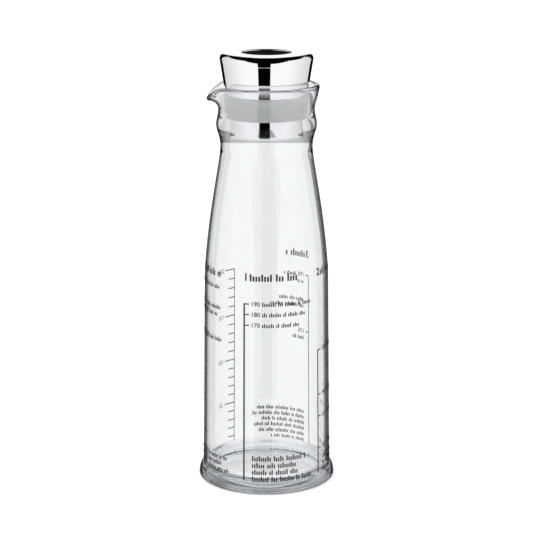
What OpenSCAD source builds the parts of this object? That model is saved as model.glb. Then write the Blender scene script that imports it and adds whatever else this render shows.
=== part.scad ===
// Salad dressing shaker: a tapered glass bottle with a bent pouring lip,
// closed by a polished steel stopper that carries a translucent seal ring.
// Origin: centre of the standing ring. +Z is up and the lip pours towards -X.

/* [Bottle body] */
// Diameter over the foot
foot_d = 63.6; // [62.4:0.2:68]
// Height of the foot's rounded edge
foot_h = 5.6; // [4.6:0.2:7]
// Radius of the corner under the foot
foot_corner_r = 1.2; // [0.6:0.1:1.6]
// Width of the ring that the bottle stands on
stand_w = 3.4; // [2:0.2:5]
// Depth of the hollow under the bottle
punt_h = 1.4; // [0.6:0.2:2.6]
// Diameter of the body just above the foot
body_low_d = 59.8; // [57:0.2:60.8]
// Diameter of the body where its straight side ends
body_high_d = 57.6; // [54:0.2:59.6]
// Height of the straight side above the foot
body_h = 86.4; // [60:0.2:110]
// Thickness of the glass in the body
wall_t = 2.4; // [1.6:0.1:3]
// Thickness of the glass floor, from the table up
floor_t = 6; // [4.4:0.2:9]
// Radius of the corner between the floor and the wall inside
floor_corner_r = 3; // [2:0.5:9]

/* [Shoulder and neck] */
// Height of the soft bend between the straight side and the shoulder
bend_h = 16; // [10:1:24]
// How far the soft bend draws in, across the diameter
bend_draw = 1.6; // [0.8:0.1:3]
// Height of the long shoulder, from the bend to the waist
shoulder_h = 49.3; // [35:0.1:70]
// Diameter of the waist, the slimmest place
waist_d = 42.3; // [41.2:0.1:45]
// Diameter of the collar that swells around the neck
collar_d = 46.1; // [44:0.1:50]
// Height of the collar's crest above the waist
collar_rise = 10.2; // [8:0.1:14]
// Diameter of the throat, where the rim begins
throat_d = 44.1; // [43:0.1:46]
// Height of the throat above the collar's crest
throat_rise = 7.1; // [5:0.1:10]
// Bore of the neck
neck_bore_d = 38; // [36:0.1:38.6]

/* [Rim and pouring lip] */
// Thickness of the rounded rim
rim_t = 2.8; // [2:0.1:3.4]
// Bend radius of the rim's wall, at its middle
rim_bend_r = 12; // [8:0.5:18]
// How far the rim leans out
rim_lean = 16; // [10:1:20]
// Length of the rim above its bend
rim_straight = 6.7; // [5:0.1:9]
// Bend radius of the pouring lip's wall, at its middle
lip_bend_r = 4.6; // [4:0.1:6]
// How far the pouring lip bends over
lip_lean = 90; // [70:1:95]
// Length of the pouring lip past its bend
lip_straight = 0.7; // [0.4:0.1:3]
// Half of the angle over which the rim turns into the lip
lip_half_angle = 55; // [40:5:70]
// Half of the angle over which the lip gathers to its tip
lip_tip_angle = 20; // [16:1:40]

/* [Steel cap] */
// Largest diameter of the cap, at its top
cap_top_d = 42.7; // [41:0.1:45]
// Diameter of the cap at its underside
cap_low_d = 37.5; // [36:0.1:38.4]
// Height of the cap
cap_h = 19.3; // [17:0.1:26]
// Radius of the cap's top edge
cap_edge_r = 2.8; // [1:0.1:3]
// Thickness of the steel
steel_t = 0.8; // [0.5:0.1:1]
// Height of the cap's underside above the throat
seat_rise = 6.1; // [5.6:0.1:8]
// Diameter of the recess in the cap's top
recess_d = 22.4; // [18:0.2:25]
// Depth of the steel edge that turns down into the recess
recess_turn = 2.2; // [1.6:0.1:4]
// Radius of the edge that turns into the recess
recess_edge_r = 0.5; // [0.3:0.1:0.8]

/* [Seal and lower cup] */
// Height of the seal ring
seal_h = 10.3; // [8:0.1:11]
// Clearance between the seal and the glass
seal_gap = 0.05; // [0.03:0.01:0.1]
// Running clearance between the seal and its groove
groove_gap = 0.05; // [0.03:0.01:0.1]
// Depth of the groove that the seal sits in
groove_depth = 0.8; // [0.5:0.1:1.4]
// Rounding of the seal's lower outer edge
seal_edge_r = 0.8; // [0.4:0.1:1.4]
// Diameter of the lower cup
cup_d = 33.2; // [31:0.2:34.4]
// Height of the lower cup below the seal
cup_drop = 7.3; // [5.6:0.1:16]
// Radius of the lower cup's bottom edge
cup_edge_r = 1.6; // [1:0.1:3]

/* [Inside of the stopper] */
// Depth of the recess, from the cap's top
recess_depth = 9; // [7:0.1:9.6]
// Wall of the moulded cup that lines the recess
liner_t = 1.2; // [1:0.1:1.6]
// Thickness of moulded floors and skirts
mould_t = 2; // [1.6:0.1:2.4]
// Thickness of the moulded ribs
rib_t = 1.4; // [1:0.1:2]
// Number of ribs in each moulded core
rib_count = 6; // [4:1:10]
// Diameter of the moulded screw posts
post_d = 11.6; // [10.8:0.2:13]
// Clearance between pieces that are pressed together
press_gap = 0.05; // [0.03:0.01:0.1]
// Height of the cap's moulded core
core_h = 11; // [8:0.5:14]
// Height of the cap's screw post above its floor
post_rise = 1.4; // [0.8:0.1:2]
// Height of the moulded roof over the brass insert
insert_cover = 4; // [3:0.5:6]
// Diameter of the tie screw
screw_d = 4; // [3:0.5:4]
// Diameter of the tie screw's head
screw_head_d = 7.6; // [6.4:0.2:8]
// Height of the tie screw's head
screw_head_h = 2.2; // [1.6:0.1:2.4]
// Length of the tie screw under its head
screw_l = 17; // [14:0.5:18]
// Clearance around the tie screw
screw_gap = 0.2; // [0.1:0.05:0.3]
// Diameter of the drive recess in the screw's head
drive_d = 3; // [2:0.1:3.4]
// Thickness of the washer under the screw's head
washer_t = 0.8; // [0.5:0.1:1]
// Diameter of the washer
washer_d = 9; // [8.4:0.2:10]
// Diameter of the brass insert
insert_d = 6.4; // [6:0.1:7]
// Length of the brass insert
insert_l = 8; // [5:0.5:9]

/* [Hidden] */
$fn = 96;

// Steps in each curve of an outline, up the rim and around the rim
curve_steps = 14;
arc_steps = 8;
rim_steps = 8;
ring_steps = 72;
// The rim stands on a root inside the throat's wall: how far the rim's foot and the
// root's lower end are drawn in from the wall's faces, and how deep the root goes
foot_inset = 0.05;
root_inset = 0.6;
root_depth = 1;
// Length that a cut runs past the solid that it cuts
cut_over = 0.5;

// Heights of the bottle, each one standing on the one below
bend_z = foot_h + body_h;
shoulder_z = bend_z + bend_h;
waist_z = shoulder_z + shoulder_h;
collar_z = waist_z + collar_rise;
throat_z = collar_z + throat_rise;

// Heights of the stopper, seated in the neck
cap_low_z = throat_z + seat_rise;
cap_top_z = cap_low_z + cap_h;
groove_low_z = cap_low_z - seal_h;
cup_low_z = groove_low_z - cup_drop;

// Radii
foot_r = foot_d / 2;
body_low_r = body_low_d / 2;
body_high_r = body_high_d / 2;
shoulder_r = body_high_r - bend_draw / 2;
waist_r = waist_d / 2;
collar_r = collar_d / 2;
throat_r = throat_d / 2;
bore_r = neck_bore_d / 2;
cap_top_r = cap_top_d / 2;
cap_low_r = cap_low_d / 2;
recess_r = recess_d / 2;
cup_r = cup_d / 2;
groove_r = cup_r - groove_depth;

// Slopes of the outline: how much the radius shrinks for each unit of height
side_slope = (body_low_r - body_high_r) / body_h;
shoulder_slope = 0.096;
// Handles of the shoulder's curve, as parts of its height
shoulder_hold = 0.5;
waist_hold = 0.12;
bend_hold = 0.4;
// Handles of the collar's curves, in its hollows and at its crest
hollow_hold = 0.45;
crest_hold = 0.3;

// Middle of the rim's wall at the throat, and the wall's thickness there
throat_mid_r = (throat_r + bore_r) / 2;
throat_t = throat_r - bore_r;
// Extra thickness half way up the rim, where the glass gathers
rim_gather = 0.4;

// Curves. A point is [radius, height].

function bezier(a, b, c, d, t) =
    pow(1 - t, 3) * a + 3 * pow(1 - t, 2) * t * b + 3 * (1 - t) * t * t * c + t * t * t * d;

// A curve between two points with given slopes and handle heights
function blend(p, q, slope_p, slope_q, hold_p, hold_q, steps) = [
    for (i = [0:steps])
        bezier(
            p, p + hold_p * [-slope_p, 1], q - hold_q * [-slope_q, 1], q, i / steps
        )
];

// An arc of an ellipse about a centre
function arc(centre, rx, rz, from, to, steps) = [
    for (i = [0:steps])
        let (a = from + (to - from) * i / steps)
            centre + [rx * cos(a), rz * sin(a)]
];

function without_first(points) = [for (i = [1:len(points) - 1]) points[i]];
function without_last(points) = [for (i = [0:len(points) - 2]) points[i]];
function reversed(points) = [for (i = [len(points) - 1:-1:0]) points[i]];

// The side of the body and the shoulder, from the foot to the waist
function side_curve() = concat(
    [[body_low_r, foot_h]],
    blend(
        [body_high_r, bend_z], [shoulder_r, shoulder_z],
        side_slope, shoulder_slope, bend_h * bend_hold, bend_h * bend_hold, arc_steps
    ),
    without_first(blend(
        [shoulder_r, shoulder_z], [waist_r, waist_z],
        shoulder_slope, 0, shoulder_h * shoulder_hold, shoulder_h * waist_hold, curve_steps
    ))
);

// The collar, from the waist to the throat
function collar_curve() = concat(
    blend(
        [waist_r, waist_z], [collar_r, collar_z], 0, 0,
        collar_rise * hollow_hold, collar_rise * crest_hold, arc_steps
    ),
    without_first(blend(
        [collar_r, collar_z], [throat_r, throat_z], 0, 0,
        throat_rise * crest_hold, throat_rise * hollow_hold, arc_steps
    ))
);

// The foot: hollow underneath, a standing ring, a corner and a rounded edge
stand_out_r = foot_r - foot_corner_r;
stand_in_r = stand_out_r - stand_w;
function punt_curve() = [
    for (i = [0:arc_steps])
        [stand_in_r * i / arc_steps, punt_h * (1 - pow(i / arc_steps, 2))]
];
function foot_curve() = concat(
    punt_curve(),
    arc([stand_out_r, foot_corner_r], foot_corner_r, foot_corner_r, -90, 0, arc_steps),
    without_first(without_last(arc(
        [body_low_r, foot_corner_r], foot_r - body_low_r, foot_h - foot_corner_r,
        0, 90, arc_steps
    )))
);

// The hollow of the bottle, from the floor to the throat, one wall inside the side
function inner_side() = [
    for (p = without_first(side_curve()))
        if (p[0] - wall_t > bore_r) [p[0] - wall_t, p[1]]
];
function hollow_curve() = concat(
    [[0, floor_t]],
    arc(
        [body_low_r - wall_t - floor_corner_r, floor_t + floor_corner_r],
        floor_corner_r, floor_corner_r, -90, 0, arc_steps
    ),
    inner_side(),
    [[bore_r, waist_z], [bore_r, throat_z]]
);

// The middle of the rim's wall: an arc that leans out, then a straight stretch
function bent(radius, lean, straight, s) =
    let (
        bend_l = radius * lean * PI / 180,
        along = s * (bend_l + straight),
        a = min(along, bend_l) / radius * 180 / PI,
        past = max(along - bend_l, 0)
    )
    [
        throat_mid_r + radius * (1 - cos(a)) + past * sin(lean),
        throat_z + radius * sin(a) + past * cos(lean)
    ];

// Direction of that middle line
function bent_way(radius, lean, straight, s) =
    let (
        bend_l = radius * lean * PI / 180,
        total = bend_l + straight,
        a = min(s * total, bend_l) / radius * 180 / PI
    )
    total * [sin(a), cos(a)];

// The rim's wall, part of the way from the plain rim (0) to the pouring lip (1)
function rim_mid(share, s) =
    (1 - share) * bent(rim_bend_r, rim_lean, rim_straight, s)
    + share * bent(lip_bend_r, lip_lean, lip_straight, s);
function rim_way(share, s) =
    let (
        v = (1 - share) * bent_way(rim_bend_r, rim_lean, rim_straight, s)
            + share * bent_way(lip_bend_r, lip_lean, lip_straight, s)
    )
    v / norm(v);
function rim_thick(s) = throat_t + (rim_t - throat_t) * s + rim_gather * 4 * s * (1 - s);

// Outline of the rim's wall: up one face, over the round edge and down the other.
// Face is 1 outside and -1 inside.
function rim_face(share, face) = [
    for (i = [0:rim_steps])
        let (s = i / rim_steps, way = rim_way(share, s))
            rim_mid(share, s) + face * rim_thick(s) / 2 * [way[1], -way[0]]
];
function rim_edge(share) =
    let (way = rim_way(share, 1), centre = rim_mid(share, 1))
    [
        for (i = [1:arc_steps - 1])
            let (a = 180 * i / arc_steps)
                centre + rim_t / 2 * (cos(a) * [way[1], -way[0]] + sin(a) * way)
    ];

// The foot of that outline, on a root that runs down inside the throat's wall
function wall_point(face, inset, depth) = [
    throat_mid_r + face * (throat_t / 2 - inset), throat_z - depth
];
function rim_outline(share) = concat(
    [wall_point(1, root_inset, root_depth), wall_point(1, foot_inset, 0)],
    without_first(rim_face(share, 1)),
    rim_edge(share),
    reversed(without_first(rim_face(share, -1))),
    [wall_point(-1, foot_inset, 0), wall_point(-1, root_inset, root_depth)]
);

// How far the rim has turned into the lip, at an angle from the lip's middle
function lip_share(angle) =
    abs(angle) < lip_half_angle
        ? pow(cos(90 * angle / lip_half_angle), 2) / (1 + pow(angle / lip_tip_angle, 2))
        : 0;

// Radius of the mouth inside the plain rim, at a height
function mouth_r(z) =
    z <= throat_z ? bore_r : lookup(z, [for (p = rim_face(0, -1)) [p[1], p[0]]]);

// Body, shoulder and neck up to the throat
module glass_body() {
    rotate_extrude()
        polygon(concat(
            foot_curve(),
            without_last(side_curve()),
            collar_curve(),
            reversed(hollow_curve())
        ));
}

// The rim: its outline carried all around while it bends over into the pouring lip.
// Flat faces stay whole between two equal outlines and are split where the lip bends.
module pouring_rim() {
    angles = [for (k = [0:ring_steps - 1]) 360 * k / ring_steps - 180];
    shares = [for (a = angles) lip_share(a)];
    rings = [for (share = shares) rim_outline(share)];
    n = len(rings[0]);
    points = [
        for (k = [0:ring_steps - 1])
            for (p = rings[k])
                [-p[0] * cos(angles[k]), -p[0] * sin(angles[k]), p[1]]
    ];
    faces = [
        for (k = [0:ring_steps - 1])
            for (i = [0:n - 1])
                let (
                    next_ring = (k + 1) % ring_steps * n,
                    j = (i + 1) % n,
                    here = [k * n + i, k * n + j],
                    there = [next_ring + j, next_ring + i]
                )
                    each shares[k] + shares[(k + 1) % ring_steps] == 0
                        ? [concat(here, there)]
                        : [[here[0], here[1], there[0]], [here[0], there[0], there[1]]]
    ];
    polyhedron(points, faces);
}

module glass_bottle() {
    color([0.85, 0.92, 0.93, 0.45])
        union() {
            glass_body();
            pouring_rim();
        }
}

// The seal: a ring in the cup's groove that fills the neck and flares with the mouth
module seal_ring() {
    low_z = groove_low_z + groove_gap;
    top_z = cap_low_z - groove_gap;
    in_r = groove_r + groove_gap;
    low_r = bore_r - seal_gap;
    flare = [
        for (i = [0:arc_steps])
            let (z = throat_z + (top_z - throat_z) * i / arc_steps)
                [mouth_r(z) - seal_gap, z]
    ];
    color([0.86, 0.87, 0.86, 0.8])
        rotate_extrude()
            polygon(concat(
                [[in_r, low_z]],
                arc(
                    [low_r - seal_edge_r, low_z + seal_edge_r],
                    seal_edge_r, seal_edge_r, -90, 0, arc_steps
                ),
                flare,
                [[in_r, top_z]]
            ));
}

// Outline of the cap's outside from its underside to the recess, drawn in by an offset
cap_wall_top_z = cap_top_z - cap_edge_r;
function cap_out_r(z) =
    cap_low_r + (cap_top_r - cap_low_r) * (z - cap_low_z) / (cap_wall_top_z - cap_low_z);
function cap_outline(inset) = concat(
    [[cap_out_r(cap_low_z + inset) - inset, cap_low_z + inset]],
    arc(
        [cap_top_r - cap_edge_r, cap_wall_top_z],
        cap_edge_r - inset, cap_edge_r - inset, 0, 90, arc_steps
    )
);

module cap_shell() {
    turn_low_z = cap_top_z - recess_turn;
    turn_out_r = recess_r + steel_t;
    edge_centre = [recess_r + recess_edge_r, cap_top_z - recess_edge_r];
    color([0.82, 0.83, 0.85])
        rotate_extrude()
            polygon(concat(
                cap_outline(0),
                arc(edge_centre, recess_edge_r, recess_edge_r, 90, 180, arc_steps),
                [[recess_r, turn_low_z], [turn_out_r, turn_low_z]],
                [[turn_out_r, cap_top_z - steel_t]],
                reversed(cap_outline(steel_t)),
                [[groove_r, cap_low_z + steel_t], [groove_r, cap_low_z]]
            ));
}

// The moulded cup that lines the recess: it starts under the cap's turned edge
liner_r = recess_r + steel_t;
liner_top_z = cap_top_z - recess_turn - press_gap;
liner_floor_z = cap_top_z - recess_depth;
liner_low_z = liner_floor_z - liner_t;
module recess_liner() {
    liner_edge_r = liner_t / 2;
    color([0.05, 0.05, 0.055])
        rotate_extrude()
            polygon(concat(
                [[0, liner_low_z]],
                arc(
                    [liner_r - liner_t, liner_low_z + liner_t],
                    liner_t, liner_t, -90, 0, arc_steps
                ),
                [[liner_r, liner_top_z], [liner_r - liner_t, liner_top_z]],
                arc(
                    [liner_r - liner_t - liner_edge_r, liner_floor_z + liner_edge_r],
                    liner_edge_r, liner_edge_r, 0, -90, arc_steps
                ),
                [[0, liner_floor_z]]
            ));
}

// Ribs between a post and a skirt, from one height to another
module ribs(from_r, to_r, low_z, high_z) {
    for (i = [0:rib_count - 1])
        rotate([0, 0, 360 * i / rib_count])
            translate([from_r, -rib_t / 2, low_z])
                cube([to_r - from_r, rib_t, high_z - low_z]);
}

// The moulded core of the cap: floor, skirt, ribs and the post for the tie screw
core_floor_z = cap_low_z + steel_t + press_gap;
core_post_z = core_floor_z + mould_t + post_rise;
head_z = core_post_z + washer_t;
core_top_z = core_floor_z + core_h;
module upper_core() {
    skin = steel_t + press_gap;
    skirt_low_r = cap_out_r(core_floor_z) - skin;
    skirt_top_r = cap_out_r(core_top_z) - skin;
    color([0.16, 0.16, 0.17])
        difference() {
            union() {
                rotate_extrude()
                    polygon([
                        [0, core_floor_z],
                        [skirt_low_r, core_floor_z],
                        [skirt_top_r, core_top_z],
                        [skirt_top_r - mould_t, core_top_z],
                        [skirt_low_r - mould_t, core_floor_z + mould_t],
                        [0, core_floor_z + mould_t]
                    ]);
                translate([0, 0, core_floor_z])
                    cylinder(d = post_d, h = core_post_z - core_floor_z);
                ribs(
                    (post_d - mould_t) / 2, skirt_low_r - mould_t / 2,
                    core_floor_z, core_post_z
                );
            }
            translate([0, 0, core_floor_z - cut_over])
                cylinder(d = screw_d + 2 * screw_gap, h = core_post_z - core_floor_z + 2 * cut_over);
        }
}

// The lower cup: closed below, drawn in above to make the seal's groove
module lower_cup() {
    top_z = cap_low_z - press_gap;
    color([0.82, 0.83, 0.85])
        rotate_extrude()
            polygon(concat(
                [[0, cup_low_z]],
                arc(
                    [cup_r - cup_edge_r, cup_low_z + cup_edge_r],
                    cup_edge_r, cup_edge_r, -90, 0, arc_steps
                ),
                [[cup_r, groove_low_z], [groove_r, groove_low_z], [groove_r, top_z]],
                [[groove_r - steel_t, top_z], [groove_r - steel_t, groove_low_z - steel_t]],
                [[cup_r - steel_t, groove_low_z - steel_t]],
                arc(
                    [cup_r - cup_edge_r, cup_low_z + cup_edge_r],
                    cup_edge_r - steel_t, cup_edge_r - steel_t, 0, -90, arc_steps
                ),
                [[0, cup_low_z + steel_t]]
            ));
}

// The moulded core of the lower cup: a roof, a skirt, ribs and the insert's post
lower_core_top_z = cap_low_z + steel_t;
screw_end_z = head_z - screw_l;
insert_top_z = lower_core_top_z - insert_cover;
insert_low_z = insert_top_z - insert_l;
lower_core_low_z = cup_low_z + steel_t + press_gap;
module lower_core() {
    skirt_r = groove_r - steel_t - press_gap;
    post_low_z = insert_low_z - press_gap;
    color([0.2, 0.2, 0.21])
        difference() {
            union() {
                difference() {
                    translate([0, 0, lower_core_low_z])
                        cylinder(r = skirt_r, h = lower_core_top_z - lower_core_low_z);
                    translate([0, 0, lower_core_low_z - cut_over])
                        cylinder(
                            r = skirt_r - mould_t,
                            h = lower_core_top_z - mould_t - lower_core_low_z + cut_over
                        );
                }
                translate([0, 0, post_low_z])
                    cylinder(d = post_d, h = lower_core_top_z - mould_t / 2 - post_low_z);
                ribs(
                    (post_d - mould_t) / 2, skirt_r - mould_t / 2,
                    post_low_z, lower_core_top_z - mould_t / 2
                );
            }
            translate([0, 0, post_low_z - cut_over])
                cylinder(
                    d = insert_d + 2 * press_gap,
                    h = insert_top_z - post_low_z + press_gap + cut_over
                );
            translate([0, 0, insert_top_z])
                cylinder(
                    d = screw_d + 2 * screw_gap,
                    h = lower_core_top_z - insert_top_z + cut_over
                );
        }
}

module tie_screw() {
    color([0.62, 0.63, 0.66])
        difference() {
            union() {
                translate([0, 0, head_z])
                    cylinder(d = screw_head_d, h = screw_head_h);
                translate([0, 0, screw_end_z])
                    cylinder(d = screw_d, h = screw_l + screw_head_h / 2);
            }
            translate([0, 0, head_z + screw_head_h / 2])
                cylinder(d = drive_d, h = screw_head_h, $fn = 6);
        }
}

module screw_washer() {
    color([0.68, 0.69, 0.72])
        translate([0, 0, core_post_z])
            difference() {
                cylinder(d = washer_d, h = washer_t);
                translate([0, 0, -cut_over])
                    cylinder(d = screw_d + 2 * screw_gap, h = washer_t + 2 * cut_over);
            }
}

module threaded_insert() {
    color([0.8, 0.62, 0.3])
        translate([0, 0, insert_low_z])
            difference() {
                cylinder(d = insert_d, h = insert_l);
                translate([0, 0, -cut_over])
                    cylinder(d = screw_d + 2 * press_gap, h = insert_l + 2 * cut_over);
            }
}

glass_bottle();
seal_ring();
cap_shell();
recess_liner();
upper_core();
lower_cup();
lower_core();
tie_screw();
screw_washer();
threaded_insert();
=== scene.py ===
# %% [markdown]
# # A salad dressing shaker, dressed for the studio
# The solids of this bottle come from its source as a fixed frame: a glass bottle with a
# bent pouring lip, and a steel stopper with a milky seal ring. Everything here is placed
# in that frame, in metres, so no piece has to be fitted by eye.
# First the frame is loaded.

# %% Load the frame
import math

import bmesh
import bpy
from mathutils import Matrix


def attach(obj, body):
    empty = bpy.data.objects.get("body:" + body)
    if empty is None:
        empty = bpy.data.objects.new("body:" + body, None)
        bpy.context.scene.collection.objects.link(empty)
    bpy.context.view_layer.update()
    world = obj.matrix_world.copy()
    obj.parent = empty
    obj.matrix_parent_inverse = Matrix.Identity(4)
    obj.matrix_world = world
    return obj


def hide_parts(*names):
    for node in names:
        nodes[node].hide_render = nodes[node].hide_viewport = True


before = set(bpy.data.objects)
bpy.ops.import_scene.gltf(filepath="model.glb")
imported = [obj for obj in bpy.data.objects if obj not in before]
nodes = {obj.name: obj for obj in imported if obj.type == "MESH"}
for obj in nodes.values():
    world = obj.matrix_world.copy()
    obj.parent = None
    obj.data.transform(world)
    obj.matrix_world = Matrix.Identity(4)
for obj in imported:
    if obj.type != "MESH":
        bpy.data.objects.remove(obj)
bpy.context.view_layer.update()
print("CAD nodes:", sorted(nodes))

# %% [markdown]
# ## Outlines
# Glass and spun steel are round, so a piece is known by its outline. It could be drawn as
# a long list of points, but a maker thinks in arcs, straight runs and soft curves between
# them. Three helpers give those. An outline is written in millimetres, as (radius,
# height), and goes around the wall of the piece.

# %% Arcs, soft curves and straight runs
def arc(centre, rx, rz, start, end, steps):
    """Points on an ellipse about a centre, from one angle to another."""
    out = []
    for i in range(steps + 1):
        a = math.radians(start + (end - start) * i / steps)
        out.append((centre[0] + rx * math.cos(a), centre[1] + rz * math.sin(a)))
    return out


def blend(p, q, slope_p, slope_q, hold_p, hold_q, steps):
    """A curve between two points with given slopes and handle heights."""
    b = (p[0] - slope_p * hold_p, p[1] + hold_p)
    c = (q[0] + slope_q * hold_q, q[1] - hold_q)
    out = []
    for i in range(steps + 1):
        t = i / steps
        w = ((1 - t) ** 3, 3 * (1 - t) ** 2 * t, 3 * (1 - t) * t * t, t ** 3)
        out.append(tuple(
            w[0] * p[k] + w[1] * b[k] + w[2] * c[k] + w[3] * q[k] for k in (0, 1)
        ))
    return out


def stretch(points, longest):
    """The same outline with its long straight runs cut into shorter ones."""
    out = [points[0]]
    for p, q in zip(points, points[1:]):
        n = max(1, math.ceil(math.dist(p, q) / longest))
        out += [
            (p[0] + (q[0] - p[0]) * i / n, p[1] + (q[1] - p[1]) * i / n)
            for i in range(1, n + 1)
        ]
    return out


print("a quarter round in 4 steps:", arc((0, 0), 1, 1, 0, 90, 4))

# %% [markdown]
# ## From an outline to a solid
# Blender's Screw modifier spins one outline around an axis. The pouring lip changes the
# outline on its way round, so the mesh is made here from one outline for each angle.
# Points on the axis are shared by all angles, which keeps the floor free of a pinhole.

# %% Carry an outline around the axis
MM = 0.001
ON_AXIS = 1e-6


def add_piece(name, verts, faces):
    """A new object from points and faces, in the scene."""
    mesh = bpy.data.meshes.new(name)
    mesh.from_pydata(verts, [], faces)
    mesh.validate()
    piece = bpy.data.objects.new(name, mesh)
    bpy.context.scene.collection.objects.link(piece)
    print(name, "faces:", len(mesh.polygons))
    return piece


def carry_round(name, outline_at, steps, closed):
    """A piece from outline_at(angle in degrees), all of equal length, around the axis.

    closed joins each outline's last point to its first. An open outline starts and ends
    on the axis."""
    first = outline_at(0.0)
    on_axis = [p[0] < ON_AXIS for p in first]
    verts, index = [], {}
    for k in range(steps):
        angle = 360.0 * k / steps
        c, s = math.cos(math.radians(angle)), math.sin(math.radians(angle))
        for i, (r, z) in enumerate(outline_at(angle)):
            if on_axis[i] and k:
                index[k, i] = index[0, i]
                continue
            index[k, i] = len(verts)
            verts.append((r * c * MM, r * s * MM, z * MM))
    faces = []
    n = len(first)
    for k in range(steps):
        for i in range(n if closed else n - 1):
            a, b = index[k, i], index[k, (i + 1) % n]
            c, d = index[(k + 1) % steps, (i + 1) % n], index[(k + 1) % steps, i]
            ring = list(dict.fromkeys((a, d, c, b)))
            if len(ring) > 2:
                faces.append(ring)
    piece = add_piece(name, verts, faces)
    work = bmesh.new()
    work.from_mesh(piece.data)
    bmesh.ops.recalc_face_normals(work, faces=work.faces)
    work.to_mesh(piece.data)
    work.free()
    for face in piece.data.polygons:
        face.use_smooth = True
    return piece


# %% [markdown]
# ## The glass bottle
# The real bottle is pressed and blown in a mould: a thick foot, a wall that tapers in,
# a collar that swells around the neck, and a rim whose wall bends over into a pouring
# lip on one side. It could be modelled from a cylinder with a subdivision surface, but
# its walls have known thicknesses, and the outline states them. The measures are those
# of the solid, so the fine glass stays inside it.
#
# The outside comes first: the underside with its hollow, the foot's bead with one fine
# groove, the long side, and the collar.

# %% The outside of the glass
FOOT_R, FOOT_H, FOOT_CORNER = 31.8, 5.6, 1.2
STAND_W, PUNT_H, PUNT_STEPS = 3.4, 1.4, 16
GROOVE_Z, GROOVE_HALF, GROOVE_DEEP = 2.6, 0.35, 0.25
BODY_LOW_R, BODY_HIGH_R = 29.9, 28.8
BEND_Z, SHOULDER_Z, WAIST_Z, COLLAR_Z, THROAT_Z = 92.0, 108.0, 157.3, 167.5, 174.6
SHOULDER_R, WAIST_R, COLLAR_R, THROAT_R, BORE_R = 28.0, 21.15, 23.05, 22.05, 19.0
SIDE_SLOPE, SHOULDER_SLOPE = (BODY_LOW_R - BODY_HIGH_R) / (BEND_Z - FOOT_H), 0.096
# Handles of the soft curves, as shares of their height
BEND_HOLD, SHOULDER_HOLD, WAIST_HOLD = 0.4, 0.5, 0.12
SWELL_HOLDS, DRAW_HOLDS = (0.45, 0.3), (0.3, 0.45)
LONG_RUN, SHORT_RUN = 4.0, 2.0


def foot_curve():
    """The underside and the foot's bead, with the fine groove of the mould."""
    stand_out = FOOT_R - FOOT_CORNER
    stand_in = stand_out - STAND_W
    shares = [i / PUNT_STEPS for i in range(PUNT_STEPS + 1)]
    punt = [(stand_in * s, PUNT_H * (1 - s ** 2)) for s in shares]
    corner = arc((stand_out, FOOT_CORNER), FOOT_CORNER, FOOT_CORNER, -90, 0, steps=8)
    bead = arc((BODY_LOW_R, FOOT_CORNER), FOOT_R - BODY_LOW_R, FOOT_H - FOOT_CORNER,
               0, 90, steps=40)
    bead = [(r - GROOVE_DEEP * math.exp(-((z - GROOVE_Z) / GROOVE_HALF) ** 2), z)
            for r, z in bead]
    return punt + corner + bead[1:-1]


def side_curve():
    """The outside of the body and shoulder, from the foot to the waist."""
    bend, tall = BEND_HOLD * (SHOULDER_Z - BEND_Z), WAIST_Z - SHOULDER_Z
    low = stretch([(BODY_LOW_R, FOOT_H), (BODY_HIGH_R, BEND_Z)], LONG_RUN)
    soft = blend((BODY_HIGH_R, BEND_Z), (SHOULDER_R, SHOULDER_Z),
                 SIDE_SLOPE, SHOULDER_SLOPE, bend, bend, steps=12)
    long = blend((SHOULDER_R, SHOULDER_Z), (WAIST_R, WAIST_Z), SHOULDER_SLOPE, 0,
                 tall * SHOULDER_HOLD, tall * WAIST_HOLD, steps=36)
    return low + soft[1:] + long[1:]


def collar_curve():
    """The outside of the neck, from the waist over the collar to the throat."""
    up, down = COLLAR_Z - WAIST_Z, THROAT_Z - COLLAR_Z
    swell = blend((WAIST_R, WAIST_Z), (COLLAR_R, COLLAR_Z), 0, 0,
                  *(up * hold for hold in SWELL_HOLDS), steps=16)
    draw = blend((COLLAR_R, COLLAR_Z), (THROAT_R, THROAT_Z), 0, 0,
                 *(down * hold for hold in DRAW_HOLDS), steps=12)
    return swell + draw[1:]


print("outside points:", len(foot_curve() + side_curve() + collar_curve()))

# %% [markdown]
# The inside follows the outside at the wall's thickness, and goes over softly into the
# straight bore that the stopper's seal grips.

# %% The hollow
WALL, FLOOR, FLOOR_CORNER, FLOOR_STEPS = 2.4, 6.0, 3.0, 8
BORE_START_Z = 147.0


def hollow_curve():
    """The inside, from the middle of the floor up to the throat."""
    side = []
    for r, z in side_curve()[1:-1]:
        t = min(max((z - BORE_START_Z) / (WAIST_Z - BORE_START_Z), 0.0), 1.0)
        into_bore = t * t * (3 - 2 * t)
        if z > FLOOR + FLOOR_CORNER:
            side.append((r - WALL + (BORE_R - r + WALL) * into_bore, z))
    corner = arc((BODY_LOW_R - WALL - FLOOR_CORNER, FLOOR + FLOOR_CORNER),
                 FLOOR_CORNER, FLOOR_CORNER, -90, 0, steps=12)
    floor = [(corner[0][0] * i / FLOOR_STEPS, FLOOR) for i in range(FLOOR_STEPS)]
    neck = stretch([(BORE_R, WAIST_Z), (BORE_R, THROAT_Z)], SHORT_RUN)
    return floor + corner + side + neck


print("hollow points:", len(hollow_curve()))

# %% [markdown]
# ## The rim and its pouring lip
# A glassworker draws the lip out of the soft rim, so the two are one wall. That wall is
# an arc that bends outwards, then a straight run. The plain rim leans a little, the
# lip leans right over with a tight bend. Each angle around the bottle gets its own
# outline, part of the way from the rim to the lip, and the glass stays one smooth skin.

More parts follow.
